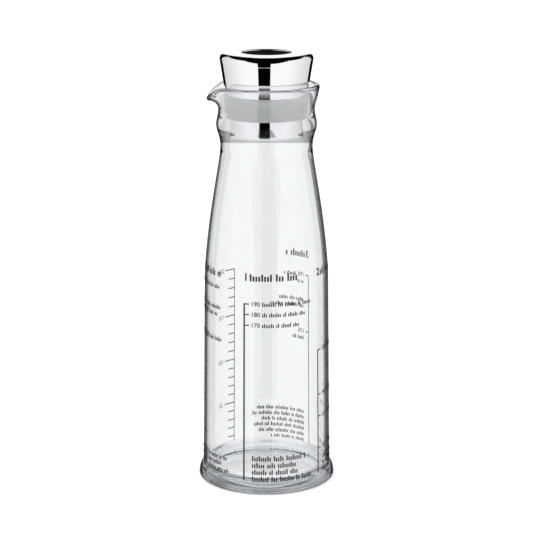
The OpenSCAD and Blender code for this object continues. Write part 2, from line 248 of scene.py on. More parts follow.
# %% The rim's wall
# Each as the bend's radius, the angle that it leans over and the straight run after it
PLAIN_RIM, POURING_LIP = (12.0, 16.0, 6.7), (4.6, 90.0, 0.7)
RIM_T, RIM_GATHER, RIM_STEPS, EDGE_STEPS = 2.8, 0.4, 18, 14
THROAT_MID_R, THROAT_T = (THROAT_R + BORE_R) / 2, THROAT_R - BORE_R


def bent(shape, s):
    """A point on the middle of a bent wall, a share of the way up, and its direction."""
    radius, lean, straight = shape
    bend_l = radius * math.radians(lean)
    total = bend_l + straight
    a = min(s * total, bend_l) / radius
    run = max(s * total - bend_l, 0.0)
    end = math.radians(lean)
    point = (THROAT_MID_R + radius * (1 - math.cos(a)) + run * math.sin(end),
             THROAT_Z + radius * math.sin(a) + run * math.cos(end))
    return point, (total * math.sin(a), total * math.cos(a))


def rim_outline(share):
    """The rim's wall, part of the way from the plain rim (0) to the pouring lip (1)."""
    middle = []
    for i in range(RIM_STEPS + 1):
        s = i / RIM_STEPS
        (p, u), (q, v) = bent(PLAIN_RIM, s), bent(POURING_LIP, s)
        point = [p[k] + share * (q[k] - p[k]) for k in (0, 1)]
        way = [u[k] + share * (v[k] - u[k]) for k in (0, 1)]
        size = math.hypot(*way)
        way = (way[0] / size, way[1] / size)
        thick = THROAT_T + (RIM_T - THROAT_T) * s + RIM_GATHER * 4 * s * (1 - s)
        middle.append((point, way, thick / 2))
    outer = [(p[0] + h * w[1], p[1] - h * w[0]) for p, w, h in middle]
    inner = [(p[0] - h * w[1], p[1] + h * w[0]) for p, w, h in middle]
    end, way, half = middle[-1]
    edge = []
    for i in range(1, EDGE_STEPS):
        a = math.pi * i / EDGE_STEPS
        edge.append((end[0] + half * (math.cos(a) * way[1] + math.sin(a) * way[0]),
                     end[1] + half * (-math.cos(a) * way[0] + math.sin(a) * way[1])))
    return outer, edge, inner


print("lip reaches, mm:", round(max(r for r, z in rim_outline(1.0)[1]), 2))

# %% Make the glass bottle
LIP_SIDE, LIP_HALF_ANGLE, LIP_TIP_ANGLE = 180.0, 55.0, 20.0
GLASS_STEPS = 288


def glass_outline(angle):
    """The whole outline of the glass at an angle around the bottle."""
    off = abs((angle - LIP_SIDE + 180.0) % 360.0 - 180.0)
    share = 0.0
    if off < LIP_HALF_ANGLE:
        share = math.cos(math.radians(90.0 * off / LIP_HALF_ANGLE)) ** 2
        share /= 1.0 + (off / LIP_TIP_ANGLE) ** 2
    outer, edge, inner = rim_outline(share)
    below = foot_curve() + side_curve() + collar_curve()[1:]
    return below + outer[1:] + edge + inner[::-1] + hollow_curve()[-2::-1]


glass = carry_round("glass_bottle_fine", glass_outline, GLASS_STEPS, closed=False)
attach(glass, "bottle")
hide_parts("glass_bottle")

# %% [markdown]
# ## The print on the glass
# The real bottle is screen printed all round: a measure up the back, and columns with a
# title, short rows at marks, and a block of rows at the foot. An image could be wrapped
# around the glass, but a print is a film of ink with a thickness, which catches light and
# can be seen from inside. So it is built as thin slabs that hug the wall. Places on the
# wall are a turn in degrees from the front towards the right, and a height.

# %% Thin slabs on the wall
INK_T, ABOVE_GLASS = 0.04, 0.012
SLAB_TURN, SLAB_RISE = 2.0, 3.0
wall_line = sorted((z, r) for r, z in side_curve())


def wall_r(z):
    """Radius of the outside wall at a height, in millimetres."""
    for (z0, r0), (z1, r1) in zip(wall_line, wall_line[1:]):
        if z <= z1:
            return r0 + (r1 - r0) * (z - z0) / (z1 - z0)
    return wall_line[-1][1]


def per_mm(z):
    """Degrees of turn for one millimetre along the wall."""
    return math.degrees(1 / wall_r(z))


def on_wall(turn, z, lift):
    """A point over the wall, in metres."""
    r = wall_r(z) + ABOVE_GLASS + lift
    a = math.radians(turn)
    return (r * math.sin(a) * MM, -r * math.cos(a) * MM, z * MM)


def add_patch(verts, faces, turn_0, turn_1, z_0, z_1):
    """A closed slab between two turns and two heights."""
    across = max(1, math.ceil(abs(turn_1 - turn_0) / SLAB_TURN))
    up = max(1, math.ceil(abs(z_1 - z_0) / SLAB_RISE))
    base = len(verts)
    grid = [(turn_0 + (turn_1 - turn_0) * i / across, z_0 + (z_1 - z_0) * j / up)
            for j in range(up + 1) for i in range(across + 1)]
    verts += [on_wall(t, z, 0.0) for t, z in grid]
    verts += [on_wall(t, z, INK_T) for t, z in grid]
    top = base + len(grid)
    row = across + 1
    for j in range(up):
        for i in range(across):
            a = j * row + i
            ring = (a, a + 1, a + row + 1, a + row)
            faces.append([base + k for k in ring[::-1]])
            faces.append([top + k for k in ring])
    rim = (list(range(row)) + [j * row + across for j in range(1, up + 1)]
           + [up * row + i for i in range(across - 1, -1, -1)]
           + [j * row for j in range(up - 1, 0, -1)])
    for a, b in zip(rim, rim[1:] + rim[:1]):
        faces.append([base + a, base + b, top + b, top + a])


print("wall radius at the foot and the shoulder, mm:", wall_r(FOOT_H), wall_r(SHOULDER_Z))

# %% [markdown]
# Figures come from a text object with a little depth. It is flat, so its points are laid
# around the wall one by one, and the text object is thrown away.

# %% Figures
# A figure's height as a share of its font's size, and how fine and how tight it is
FIGURE_SHARE, FIGURE_CURVES, WELD = 0.7, 3, 0.0001


def add_number(verts, faces, figures, turn, z, height, bold=0.0):
    """Plain figures, wrapped on to the wall, with their middle at a turn and a height."""
    curve = bpy.data.curves.new("figures", "FONT")
    curve.body = figures
    curve.align_x, curve.align_y = "CENTER", "CENTER"
    curve.size = height / FIGURE_SHARE
    curve.offset = bold
    curve.extrude = INK_T / 2
    curve.resolution_u = FIGURE_CURVES
    flat = bpy.data.objects.new("figures", curve)
    bpy.context.scene.collection.objects.link(flat)
    graph = bpy.context.evaluated_depsgraph_get()
    mesh = bpy.data.meshes.new_from_object(flat.evaluated_get(graph))
    welded = bmesh.new()
    welded.from_mesh(mesh)
    bmesh.ops.remove_doubles(welded, verts=welded.verts, dist=WELD)
    bmesh.ops.triangulate(welded, faces=welded.faces)
    welded.verts.ensure_lookup_table()
    base = len(verts)
    for v in welded.verts:
        verts.append(on_wall(turn + v.co.x * per_mm(z), z + v.co.y, v.co.z + INK_T / 2))
    faces += [[base + v.index for v in f.verts] for f in welded.faces]
    welded.free()
    bpy.data.objects.remove(flat)
    bpy.data.meshes.remove(mesh)


print("one millimetre on the wall, degrees:", round(per_mm(FOOT_H), 2))

# %% [markdown]
# The rows are upright strokes with the rhythm of words. From a step away they look like
# small print, and they say nothing.

# %% Rows
# Strokes in each word. About 2 in 7 are tall, by a count that the beat shifts
WORDS = (5, 8, 3, 7, 2, 6, 4, 9)
GROUP, TALL, SHUFFLE = 7, 2, 5
# Shares of a row's height: a stroke's width, the step to the next, and a low stroke
STROKE_W, STROKE_STEP, LOW_STROKE = 0.26, 0.4, 0.7


def add_row(verts, faces, turn_0, turn_1, z, height, beat):
    """A row of upright strokes from one turn to another. The beat varies the words."""
    low = z - height / 2
    stroke, step = STROKE_W * height * per_mm(z), STROKE_STEP * height * per_mm(z)
    at, word, k = turn_0, beat, 0
    while at + stroke < turn_1:
        share = 1.0 if (k * SHUFFLE + beat) % GROUP < TALL else LOW_STROKE
        add_patch(verts, faces, at, at + stroke, low, low + height * share)
        at, k = at + step, k + 1
        if k == WORDS[word % len(WORDS)]:
            at, word, k = at + step, word + 1, 0


def add_print(name, verts, faces):
    piece = add_piece(name, verts, faces)
    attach(piece, "bottle")
    return piece


print("strokes in a row of eight words:", sum(WORDS))

# %% [markdown]
# ## The measure
# On the real bottle the measure tells how much dressing is in it, so its marks are
# worked out, not spaced by eye: the hollow is cut into slices, each a piece of a cone,
# and a mark stands where the slices below it hold that much.

# %% How much the hollow holds
HOLLOW_LINE = hollow_curve()[FLOOR_STEPS:]
MM3_PER_ML, MOST_ML, ROUND_TO = 1000, 400, 5


def filled_to(millilitres):
    """Height of the dressing's surface, in millimetres, for a volume in the hollow."""
    held = 0.0
    for (r0, z0), (r1, z1) in zip(HOLLOW_LINE, HOLLOW_LINE[1:]):
        part = math.pi * (z1 - z0) * (r0 * r0 + r0 * r1 + r1 * r1) / 3 / MM3_PER_ML
        if held + part >= millilitres:
            return z0 + (z1 - z0) * (millilitres - held) / part
        held += part
    return HOLLOW_LINE[-1][1]


def held_at(height):
    """Volume in millilitres that fills the hollow up to a height, rounded."""
    return next(ml for ml in range(0, MOST_ML, ROUND_TO)
                if filled_to(ml + ROUND_TO / 2) >= height)


print("marks, mm:", [round(filled_to(ml), 2) for ml in (10, 50, 100, 150, 200)])

# %% The measure up the back
MEASURE_TURN, MEASURE_W, PRINT_LOW_Z = 215.0, 0.9, 6.0
THIN, LONG_MARK, SHORT_MARK = 0.54, 12.5, 7.4
MARK_ML, LONG_ML, TOP_ML = 10, 50, 200
MEASURE_NUMBER_AT, MEASURE_NUMBER_H = LONG_MARK + 6.5, 2.3
# A mark starts a hair's breadth beside its line, so that the slabs share no edge
BESIDE = 0.02


def add_mark(verts, faces, turn_0, turn_1, z):
    add_patch(verts, faces, turn_0 + BESIDE, turn_1, z - THIN / 2, z + THIN / 2)


verts, faces = [], []
add_patch(verts, faces, MEASURE_TURN - MEASURE_W, MEASURE_TURN,
          PRINT_LOW_Z, filled_to(TOP_ML) + THIN / 2)
for ml in range(MARK_ML, TOP_ML + 1, MARK_ML):
    z, is_long = filled_to(ml), ml % LONG_ML == 0
    mark = LONG_MARK if is_long else SHORT_MARK
    add_mark(verts, faces, MEASURE_TURN, MEASURE_TURN + mark, z)
    if is_long:
        add_number(verts, faces, str(ml), MEASURE_TURN + MEASURE_NUMBER_AT, z,
                   MEASURE_NUMBER_H)
prints = [add_print("print_measure", verts, faces)]

# %% [markdown]
# ## The columns
# Each column is a line with marks, a number at each mark and rows beside it. The columns
# stand at their own turns around the bottle, so one is read from the front while another
# shows through the glass, back to front.

# %% Four columns
TITLE_Z, TITLE_H, ROW_H = 101.9, 3.3, 2.0
# Places beside a column's line, in degrees
TITLE_NUMBER_AT, TITLE_AT, MARK_END, NUMBER_AT = 1.4, 5.0, 4.6, 10.4
ROW_AT, ROW_BY_NUMBER_AT = 7.5, 16.5
BOLD, TITLE_BOLD = 0.05, 0.14
COLUMNS = (
    # line's turn, its top, title's end, marks, rows as (height, end), foot rows' ends
    (-20.4, 89.7, 29.0, (89.7, 84.8, 79.8),
     ((89.7, 45.8), (84.8, 39.5), (79.8, 31.6)), (37.8, 29.2, 31.2, 46.0)),
    (53.6, 65.2, 98.0, (65.2, 43.8, 33.3, 18.0),
     ((65.2, 101.0), (43.8, 94.0), (33.3, 108.0), (18.0, 99.0)), (112.0, 104.0, 96.0)),
    (131.7, 91.5, 161.0, (91.5, 63.8),
     ((91.5, 162.0), (88.3, 147.5), (79.5, 168.0), (76.3, 176.0), (63.8, 144.5),
      (60.6, 154.0)), (190.0, 195.0, 186.0, 193.0, 188.0, 176.0)),
    (264.0, 95.6, 314.0, (95.6, 86.0, 71.0),
     ((95.6, 312.0), (86.0, 315.5), (82.7, 309.0), (71.0, 315.6)),
     (323.0, 318.0, 323.5)),
)
# Half of the line's width, and the rows at the foot: the lowest one's height, the step up
# to the next one and their size
FRONT, BACK = (0.75, 6.9, 3.3, 2.5), (0.5, 8.9, 2.9, 2.0)
for count, (turn, top, title_end, marks, rows, foot_rows) in enumerate(COLUMNS, 1):
    verts, faces = [], []
    half, low, step, height = BACK if 90 < turn < 270 else FRONT
    add_patch(verts, faces, turn - half, turn + half, PRINT_LOW_Z, top + THIN / 2)
    for z in marks:
        add_mark(verts, faces, turn + half, turn + MARK_END, z)
        add_number(verts, faces, str(held_at(z)), turn + NUMBER_AT, z, ROW_H, BOLD)
    add_number(verts, faces, str(count), turn + TITLE_NUMBER_AT, TITLE_Z, TITLE_H,
               TITLE_BOLD)
    add_row(verts, faces, turn + TITLE_AT, title_end, TITLE_Z, TITLE_H, count)
    for k, (z, end) in enumerate(rows):
        start = turn + (ROW_BY_NUMBER_AT if z in marks else ROW_AT)
        add_row(verts, faces, start, end, z, ROW_H, k + count)
    for k, end in enumerate(reversed(foot_rows)):
        add_row(verts, faces, turn + ROW_AT, end, low + step * k, height, 2 * k + count)
    prints.append(add_print(f"print_column_{count}", verts, faces))

# %% [markdown]
# ## The stopper
# The cap is drawn steel with a rolled edge that turns down into a black recess. Under it
# a milky silicone ring fills the neck, and a steel cup closes the stopper below. A maker
# spins or moulds each of them, so they are turned outlines here too, finer than the
# solids that they stand for. Pieces that touch keep a small gap between them.
#
# The cap is a thin wall: its outside, and the same line again, drawn in by the steel's
# thickness.

# %% The cap
CAP_LOW_Z, CAP_TOP_Z, CAP_LOW_R, CAP_TOP_R, CAP_EDGE = 180.7, 200.0, 18.75, 21.35, 2.8
STEEL, RECESS_R, RECESS_TURN, RECESS_EDGE = 0.8, 11.2, 2.2, 0.5
GROOVE_R, GAP, TOP_RUN, TURNED_STEPS = 15.8, 0.05, 1.0, 256


def cap_outline(inset):
    """The cap's outside from its underside to the top, drawn in by an inset."""
    slope = (CAP_TOP_R - CAP_LOW_R) / (CAP_TOP_Z - CAP_EDGE - CAP_LOW_Z)
    low = (CAP_LOW_R + slope * inset - inset, CAP_LOW_Z + inset)
    edge = arc((CAP_TOP_R - CAP_EDGE, CAP_TOP_Z - CAP_EDGE),
               CAP_EDGE - inset, CAP_EDGE - inset, 0, 90, steps=16)
    return stretch([low, edge[0]], SHORT_RUN) + edge[1:]


def cap_shell_outline(angle):
    turned = arc((RECESS_R + RECESS_EDGE, CAP_TOP_Z - RECESS_EDGE),
                 RECESS_EDGE, RECESS_EDGE, 90, 180, steps=8)
    inside = [(RECESS_R, CAP_TOP_Z - RECESS_TURN),
              (RECESS_R + STEEL, CAP_TOP_Z - RECESS_TURN),
              (RECESS_R + STEEL, CAP_TOP_Z - STEEL)]
    flange = [(GROOVE_R, CAP_LOW_Z + STEEL), (GROOVE_R, CAP_LOW_Z)]
    top = stretch([cap_outline(0)[-1], turned[0]], TOP_RUN)[1:]
    return cap_outline(0) + top + turned[1:] + inside + cap_outline(STEEL)[::-1] + flange


cap = carry_round("cap_shell_fine", cap_shell_outline, TURNED_STEPS, closed=True)

# %% [markdown]
# The recess is a black cup under the cap's turned edge. Its thin lip stands up inside
# that edge, so the whole wall of the recess is black.

# %% The recess
LINER_T, LINER_FLOOR_Z, LINER_STEPS = 1.2, 191.0, 160


def liner_outline(angle):
    out_r, low = RECESS_R + STEEL, LINER_FLOOR_Z - LINER_T
    in_r, edge = out_r - LINER_T, LINER_T / 2
    under = arc((in_r, low + LINER_T), LINER_T, LINER_T, -90, 0, steps=10)
    top, lip_top = CAP_TOP_Z - RECESS_TURN - GAP, CAP_TOP_Z - RECESS_EDGE - GAP
    lip = [(out_r, top), (RECESS_R - GAP, top), (RECESS_R - GAP, lip_top), (in_r, lip_top)]
    inner = arc((in_r - edge, LINER_FLOOR_Z + edge), edge, edge, 0, -90, steps=8)
    return [(0, low)] + under + lip + inner + [(0, LINER_FLOOR_Z)]


liner = carry_round("recess_liner_fine", liner_outline, LINER_STEPS, closed=False)

# %% [markdown]
# The seal is soft, and swells to whatever it is pressed into. So its outside isn't a
# shape of its own: above the bore it follows the inside of the rim, a gap away from it.

# %% The seal
GROOVE_LOW_Z, SEAL_EDGE, FLARE_STEPS = 170.4, 0.8, 12


def seal_outline(angle):
    low_z, top_z = GROOVE_LOW_Z + GAP, CAP_LOW_Z - GAP
    in_r, low_r = GROOVE_R + GAP, BORE_R - GAP
    _, _, mouth = rim_outline(0.0)
    flare = []
    for i in range(FLARE_STEPS + 1):
        z = THROAT_Z + (top_z - THROAT_Z) * i / FLARE_STEPS
        below = max((p for p in mouth if p[1] <= z), key=lambda p: p[1])
        above = min((p for p in mouth if p[1] > z), key=lambda p: p[1])
        t = (z - below[1]) / (above[1] - below[1])
        flare.append((below[0] + t * (above[0] - below[0]) - GAP, z))
    under = arc((low_r - SEAL_EDGE, low_z + SEAL_EDGE), SEAL_EDGE, SEAL_EDGE,
                -90, 0, steps=8)
    return [(in_r, low_z)] + under + flare + [(in_r, top_z)]


seal = carry_round("seal_ring_fine", seal_outline, TURNED_STEPS, closed=True)

# %% [markdown]
# The lower cup is drawn steel again: round below, with a narrower part above that holds
# the seal. Last, the four pieces get their bodies and their sharp folds. They are shaded
# as one skin, apart from edges that turn by more than FOLD_ANGLE. A modifier that splits
# such edges looks the same, but it would leave the mesh open.

# %% The cup, and the folds
CUP_R, CUP_LOW_Z, CUP_EDGE = 16.6, 163.1, 1.6
FOLD_ANGLE = 35


def cup_outline(angle):
    top, centre = CAP_LOW_Z - GAP, (CUP_R - CUP_EDGE, CUP_LOW_Z + CUP_EDGE)
    under = arc(centre, CUP_EDGE, CUP_EDGE, -90, 0, steps=12)
    groove = [(CUP_R, GROOVE_LOW_Z), (GROOVE_R, GROOVE_LOW_Z), (GROOVE_R, top)]
    inside = [(GROOVE_R - STEEL, top), (GROOVE_R - STEEL, GROOVE_LOW_Z - STEEL),
              (CUP_R - STEEL, GROOVE_LOW_Z - STEEL)]
    floor = arc(centre, CUP_EDGE - STEEL, CUP_EDGE - STEEL, 0, -90, steps=8)
    return [(0, CUP_LOW_Z)] + under + groove + inside + floor + [(0, CUP_LOW_Z + STEEL)]


cup = carry_round("lower_cup_fine", cup_outline, TURNED_STEPS, closed=False)
for piece, body, node, slot in (
    (cap, "stopper", "cap_shell", "polished_steel"),
    (liner, "stopper", "recess_liner", "black_plastic"),
    (seal, "seal", "seal_ring", "silicone"),
    (cup, "stopper", "lower_cup", "polished_steel"),
):
    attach(piece, body)
    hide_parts(node)
    piece.data.set_sharp_from_angle(angle=math.radians(FOLD_ANGLE))

# %% [markdown]
# ## Finishes
# Nothing that is pressed, spun or moulded comes out perfectly even. Glass keeps a faint
# wave of its mould, polished steel the trace of the buffing wheel, and plastic a fine
# grain. Each could be painted by itself, but it is one effect: a noise that moves the
# roughness and the height of the surface a little. So it is one node group, made once
# and placed in every material with values of its own.

# %% Short ways to place nodes
def add_node(tree, kind, inputs, **settings):
    """A node with numbers or other nodes' sockets as its inputs."""
    node = tree.nodes.new("ShaderNode" + kind)
    for key, value in settings.items():
        setattr(node, key, value)
    for key, value in inputs.items():
        if isinstance(value, bpy.types.NodeSocket):
            tree.links.new(value, node.inputs[key])
        else:
            node.inputs[key].default_value = value
    return node


def maths(tree, operation, *values):
    return add_node(tree, "Math", dict(enumerate(values)), operation=operation).outputs[0]


def carried(tree, value, low, high, at_low=0.0, at_high=1.0, how="LINEAR"):
    """A value carried from one range over to another, and held beyond its ends."""
    ends = {"Value": value, "From Min": low, "From Max": high,
            "To Min": at_low, "To Max": at_high}
    return add_node(tree, "MapRange", ends, interpolation_type=how).outputs["Result"]


print("helpers:", [helper.__name__ for helper in (add_node, maths, carried)])

# %% The uneven surface, as a node group
GRAIN_DETAIL = 4.0


def make_uneven_surface():
    group = bpy.data.node_groups.new("uneven_surface", "ShaderNodeTree")
    for label in ("Grain Scale", "Roughness Low", "Roughness High"):
        group.interface.new_socket(label, in_out="INPUT", socket_type="NodeSocketFloat")
    for label in ("Roughness", "Height"):
        group.interface.new_socket(label, in_out="OUTPUT", socket_type="NodeSocketFloat")
    given = group.nodes.new("NodeGroupInput").outputs
    result = group.nodes.new("NodeGroupOutput").inputs
    where = add_node(group, "TexCoord", {}).outputs["Object"]
    grain = add_node(group, "TexNoise", {"Vector": where, "Scale": given["Grain Scale"],
                                         "Detail": GRAIN_DETAIL}).outputs["Fac"]
    rough = carried(group, grain, 0.0, 1.0, given["Roughness Low"], given["Roughness High"])
    group.links.new(rough, result["Roughness"])
    group.links.new(grain, result["Height"])
    return group


uneven_surface = make_uneven_surface()
print("group:", [item.name for item in uneven_surface.interface.items_tree])

# %% [markdown]
# A finish is then one Principled shader with its own colour, and the group's roughness
# and height. Whatever is the same all over, such as the IOR, is set on the shader itself.

# %% One finish
def finish(name, colour, rough, bump, scale, **values):
    """A material. rough is its lowest and highest roughness, bump a strength and height."""
    material = bpy.data.materials.new(name)
    material.use_nodes = True
    tree = material.node_tree
    shader = tree.nodes["Principled BSDF"]
    shader.inputs["Base Color"].default_value = (*colour, 1)
    for key, value in values.items():
        shader.inputs[key.replace("_", " ")].default_value = value
    uneven = tree.nodes.new("ShaderNodeGroup")
    uneven.node_tree = uneven_surface
    uneven.inputs["Grain Scale"].default_value = scale
    uneven.inputs["Roughness Low"].default_value = rough[0]
    uneven.inputs["Roughness High"].default_value = rough[1]
    raised = add_node(tree, "Bump", {"Strength": bump[0], "Distance": bump[1],
                                     "Height": uneven.outputs["Height"]})
    tree.links.new(uneven.outputs["Roughness"], shader.inputs["Roughness"])
    tree.links.new(raised.outputs["Normal"], shader.inputs["Normal"])
    print("finish:", name)
    return material


# %% [markdown]
# ## Steel, silicone, plastic, brass and ink
# Polished steel is almost a mirror, so nearly all of its look is what stands around it.
# The seal is cloudy: mostly a pale body colour, with a little light let through and a
# soft shine on top. The recess is matt black. The parts inside the stopper are never
# seen at rest, and they still get the finish that such parts have.

# %% Make the finishes
steel = finish("polished_steel", colour=(0.95, 0.95, 0.955), rough=(0.01, 0.03),
               bump=(0.001, 0.0001), scale=60, Metallic=1.0)
silicone = finish("milky_silicone", colour=(0.96, 0.963, 0.96), rough=(0.3, 0.4),
                  bump=(0.05, 0.0001), scale=500, Transmission_Weight=0.1, IOR=1.41,
                  Specular_IOR_Level=1.0, Coat_Weight=0.5)
plastic = finish("black_plastic", colour=(0.01, 0.01, 0.011), rough=(0.45, 0.65),
                 bump=(0.03, 0.0001), scale=2500, Specular_IOR_Level=0.3)
core = finish("moulded_core", colour=(0.05, 0.05, 0.053), rough=(0.4, 0.55),
              bump=(0.2, 0.0001), scale=1800)
screw_steel = finish("screw_steel", colour=(0.6, 0.6, 0.62), rough=(0.25, 0.4),
                     bump=(0.1, 0.0001), scale=3000, Metallic=1.0)
brass = finish("brass", colour=(0.75, 0.55, 0.25), rough=(0.22, 0.37),
               bump=(0.1, 0.0001), scale=2500, Metallic=1.0)
ink = finish("dark_print", colour=(0.02, 0.02, 0.022), rough=(0.45, 0.65),
             bump=(0.1, 0.00002), scale=4000)

# %% Put the finishes on
for piece, material in ((cap, steel), (cup, steel), (seal, silicone), (liner, plastic)):
    piece.data.materials.append(material)
for piece in prints:
    piece.data.materials.append(ink)
for name, material in (("upper_core", core), ("lower_core", core),
                       ("tie_screw", screw_steel), ("screw_washer", screw_steel),
                       ("threaded_insert", brass)):
    for slot in nodes[name].material_slots:
        slot.material = material
    print(name, "has", material.name)

# %% [markdown]
# ## Clear glass
# A bottle on a white ground is drawn by its edges: where the wall turns away from the
# eye, light has a long way through the glass and little of it arrives. A renderer finds
# some of this by itself, but too little of it in a white room. So three things help.
# The first is painted shade: a dark colour mixed into the glass's own colour on the
# grazing parts of the outside, found by Layer Weight. The mask of the outside comes from
# the shape: its surface looks away from the bottle's axis. A second Layer Weight, against
# the upward direction, takes the painted shade away again in steep views from above, where
# the whole wall would go grey.

# %% The painted dark outline of the glass
# The second colour is painted shade, mixed into the glass's own colour where its edges go
# dark
CLEAR, EDGE_PAINTED_SHADE = (0.98, 0.981, 0.983), (0.03, 0.033, 0.04)
# Where the painted edge shade begins and where it is full, as shares of turning away
GRAZING, STEEP, EVEN = (0.58, 0.74), (0.3, 0.6), 0.5
# How far a surface looks away from the axis, in metres, to count as the outside
OUTWARD = 0.003
clear_glass = finish("clear_glass", colour=CLEAR, rough=(0.0, 0.01), bump=(0.06, 0.0004),
                     scale=60, Transmission_Weight=1.0, IOR=1.5)
tree = clear_glass.node_tree
shader = tree.nodes["Principled BSDF"]
where = add_node(tree, "TexCoord", {}).outputs
from_axis = add_node(tree, "VectorMath", {0: where["Object"], 1: (1, 1, 0)},
                     operation="MULTIPLY").outputs["Vector"]
away = add_node(tree, "VectorMath", {0: from_axis, 1: where["Normal"]},
                operation="DOT_PRODUCT").outputs["Value"]
outside = maths(tree, "GREATER_THAN", away, OUTWARD)
facing = add_node(tree, "LayerWeight", {"Blend": EVEN}).outputs["Facing"]
up = add_node(tree, "CombineXYZ", {"Z": 1.0}).outputs[0]
from_top = add_node(tree, "LayerWeight", {"Blend": EVEN, "Normal": up}).outputs["Facing"]
# Painted shade: a mask of where the outside grazes the view, except in steep views from
# above
outline = maths(tree, "MULTIPLY", carried(tree, facing, *GRAZING, how="SMOOTHSTEP"),
                carried(tree, from_top, *STEEP))
print("outline nodes:", len(tree.nodes))

# %% [markdown]
# The second is a painted contact shadow on the rounded edge that stands on the table. It is
# painted only for light on its way in: Backfacing tells from which side a surface is met.
# A Mix node keeps a pair of inputs for each kind of value, so its two colours are inputs 6
# and 7, and their mix is output 2.

# %% The painted contact shadow on the standing edge, and the painted shade
# Over these heights, in metres, the painted contact shadow goes from the first share to the
# second
CONTACT_SHADOW_HEIGHTS, CONTACT_SHADOW_SHARES = (0.0006, 0.0014), (0.9, 0.0)
# Painted contact shadow: the lowest millimetre of the foot is darkened where it stands on
# the table
height = add_node(tree, "SeparateXYZ", {0: where["Object"]}).outputs["Z"]
way_out = add_node(tree, "NewGeometry", {}).outputs["Backfacing"]
painted_contact_shadow = maths(tree, "MULTIPLY", carried(tree, height, *CONTACT_SHADOW_HEIGHTS, *CONTACT_SHADOW_SHARES),
                 maths(tree, "SUBTRACT", 1.0, way_out))
# The mask of all painted shade on the outside of the glass: the dark edges and the contact
# shadow
painted_shade_mask = maths(tree, "MULTIPLY", maths(tree, "MAXIMUM", outline, painted_contact_shadow), outside)
# The painted shade is mixed into the glass's own colour here
painted_shade = add_node(tree, "Mix", {0: painted_shade_mask, 6: (*CLEAR, 1), 7: (*EDGE_PAINTED_SHADE, 1)},
                data_type="RGBA").outputs[2]
tree.links.new(painted_shade, shader.inputs["Base Color"])
print("tint nodes:", len(tree.nodes))

# %% [markdown]
# The third is the glass itself, which takes up a little light for each millimetre. That
# is a volume and not a colour of the surface, so the thick foot goes grey by itself.

# %% Light taken up inside
TAKEN_UP, DENSITY = (0.8, 0.805, 0.83, 1), 32
inside = add_node(tree, "VolumeAbsorption", {"Color": TAKEN_UP, "Density": DENSITY})
tree.links.new(inside.outputs["Volume"], tree.nodes["Material Output"].inputs["Volume"])
glass.data.materials.append(clear_glass)
print("glass nodes:", len(tree.nodes))

# %% [markdown]
# ## The table
# A white table that catches the bottle's soft shadow. The camera sees it a little
# brighter than it is, so it meets the white ground without a line. Glass and steel don't
# see it: what they see is worked out below, where it can be given clean edges.

# %% Make the table
TABLE_HALF, UNDER = 6.0, 0.0002
CORNERS = ((-1, -1), (1, -1), (1, 1), (-1, 1))
WHITE, PAPER, GLOW = (1, 1, 1, 1), (0.9, 0.9, 0.9, 1), 0.3


def plain_shader(name, values):
    """A material with only a Principled shader, with values for its inputs."""
    material = bpy.data.materials.new(name)
    material.use_nodes = True
    for key, value in values.items():
        material.node_tree.nodes["Principled BSDF"].inputs[key].default_value = value
    return material


def add_stage(name, verts, faces, material):
    """A piece of the studio, which glass doesn't see."""
    flat = add_piece(name, verts, faces)
    flat.data.materials.append(material)
    flat.visible_transmission = False
    return flat


paper = plain_shader("white_paper", {"Base Color": PAPER, "Roughness": 0.9,
                                     "Specular IOR Level": 0.0, "Emission Color": WHITE})
tree = paper.node_tree
seen = add_node(tree, "LightPath", {}).outputs["Is Camera Ray"]
tree.links.new(maths(tree, "MULTIPLY", seen, GLOW),
               tree.nodes["Principled BSDF"].inputs["Emission Strength"])
table = add_stage("table", [(x * TABLE_HALF, y * TABLE_HALF, -UNDER) for x, y in CORNERS],
                  [(0, 1, 2, 3)], paper)
table.visible_glossy = False

# %% [markdown]
# One thing on the table is real to the steel, a slim light in an arc around the bottle.
# It gives the fine bright line across the black reflection in the cap. It could be
# worked out in the world like the rest, but a real strip keeps its distance, so its
# reflection lies at one height of the wall, as that of a near lamp does.

# %% Make the slim light
LIGHT_R, LIGHT_W, LIGHT_TURNS, LIGHT_STRENGTH = 0.4415, 0.011, range(-30, 19, 2), 0.45
arc_points = [(r * math.sin(math.radians(t)), -r * math.cos(math.radians(t)), 0.0)
              for t in LIGHT_TURNS for r in (LIGHT_R, LIGHT_R + LIGHT_W)]
arc_faces = [(k, k + 1, k + 3, k + 2) for k in range(0, len(arc_points) - 2, 2)]
shine = plain_shader("slim_light", {"Emission Color": WHITE,
                                    "Emission Strength": LIGHT_STRENGTH})
slim = add_stage("slim_light", arc_points, arc_faces, shine)
slim.visible_camera = slim.visible_diffuse = slim.visible_shadow = False

# %% [markdown]
# ## The room around the bottle
# Polished things show the room, so the room is designed: white paper and soft boxes with
# black between them. It could be built of panels, but a world that is worked out from a
# direction has cleaner edges and makes no noise. A direction has a turn around the
# bottle, 0 towards the camera and 180 behind, and a rise over the horizon, in degrees.
# An edge in that room is a pair: where it lies, and how soft it is, in degrees.

# %% Directions and edges
world = bpy.data.worlds.new("studio")
bpy.context.scene.world = world
world.use_nodes = True
world.cycles.sampling_method = "NONE"
room = world.node_tree


def sky(operation, *values):
    return maths(room, operation, *values)


def past(value, edge, soft):
    """0 below an edge and 1 over it, with a soft change."""
    return carried(room, value, edge - soft, edge + soft, how="SMOOTHSTEP")


def beneath(value, edge, soft):
    return sky("SUBTRACT", 1.0, past(value, edge, soft))


def between(value, low_edge, high_edge):
    """1 between two edges and 0 outside them."""
    return sky("MULTIPLY", past(value, *low_edge), beneath(value, *high_edge))


def less(value, amount):
    """A light that is taken down by an amount, where 1 takes all of it."""
    return sky("MULTIPLY", value, sky("SUBTRACT", 1.0, amount))


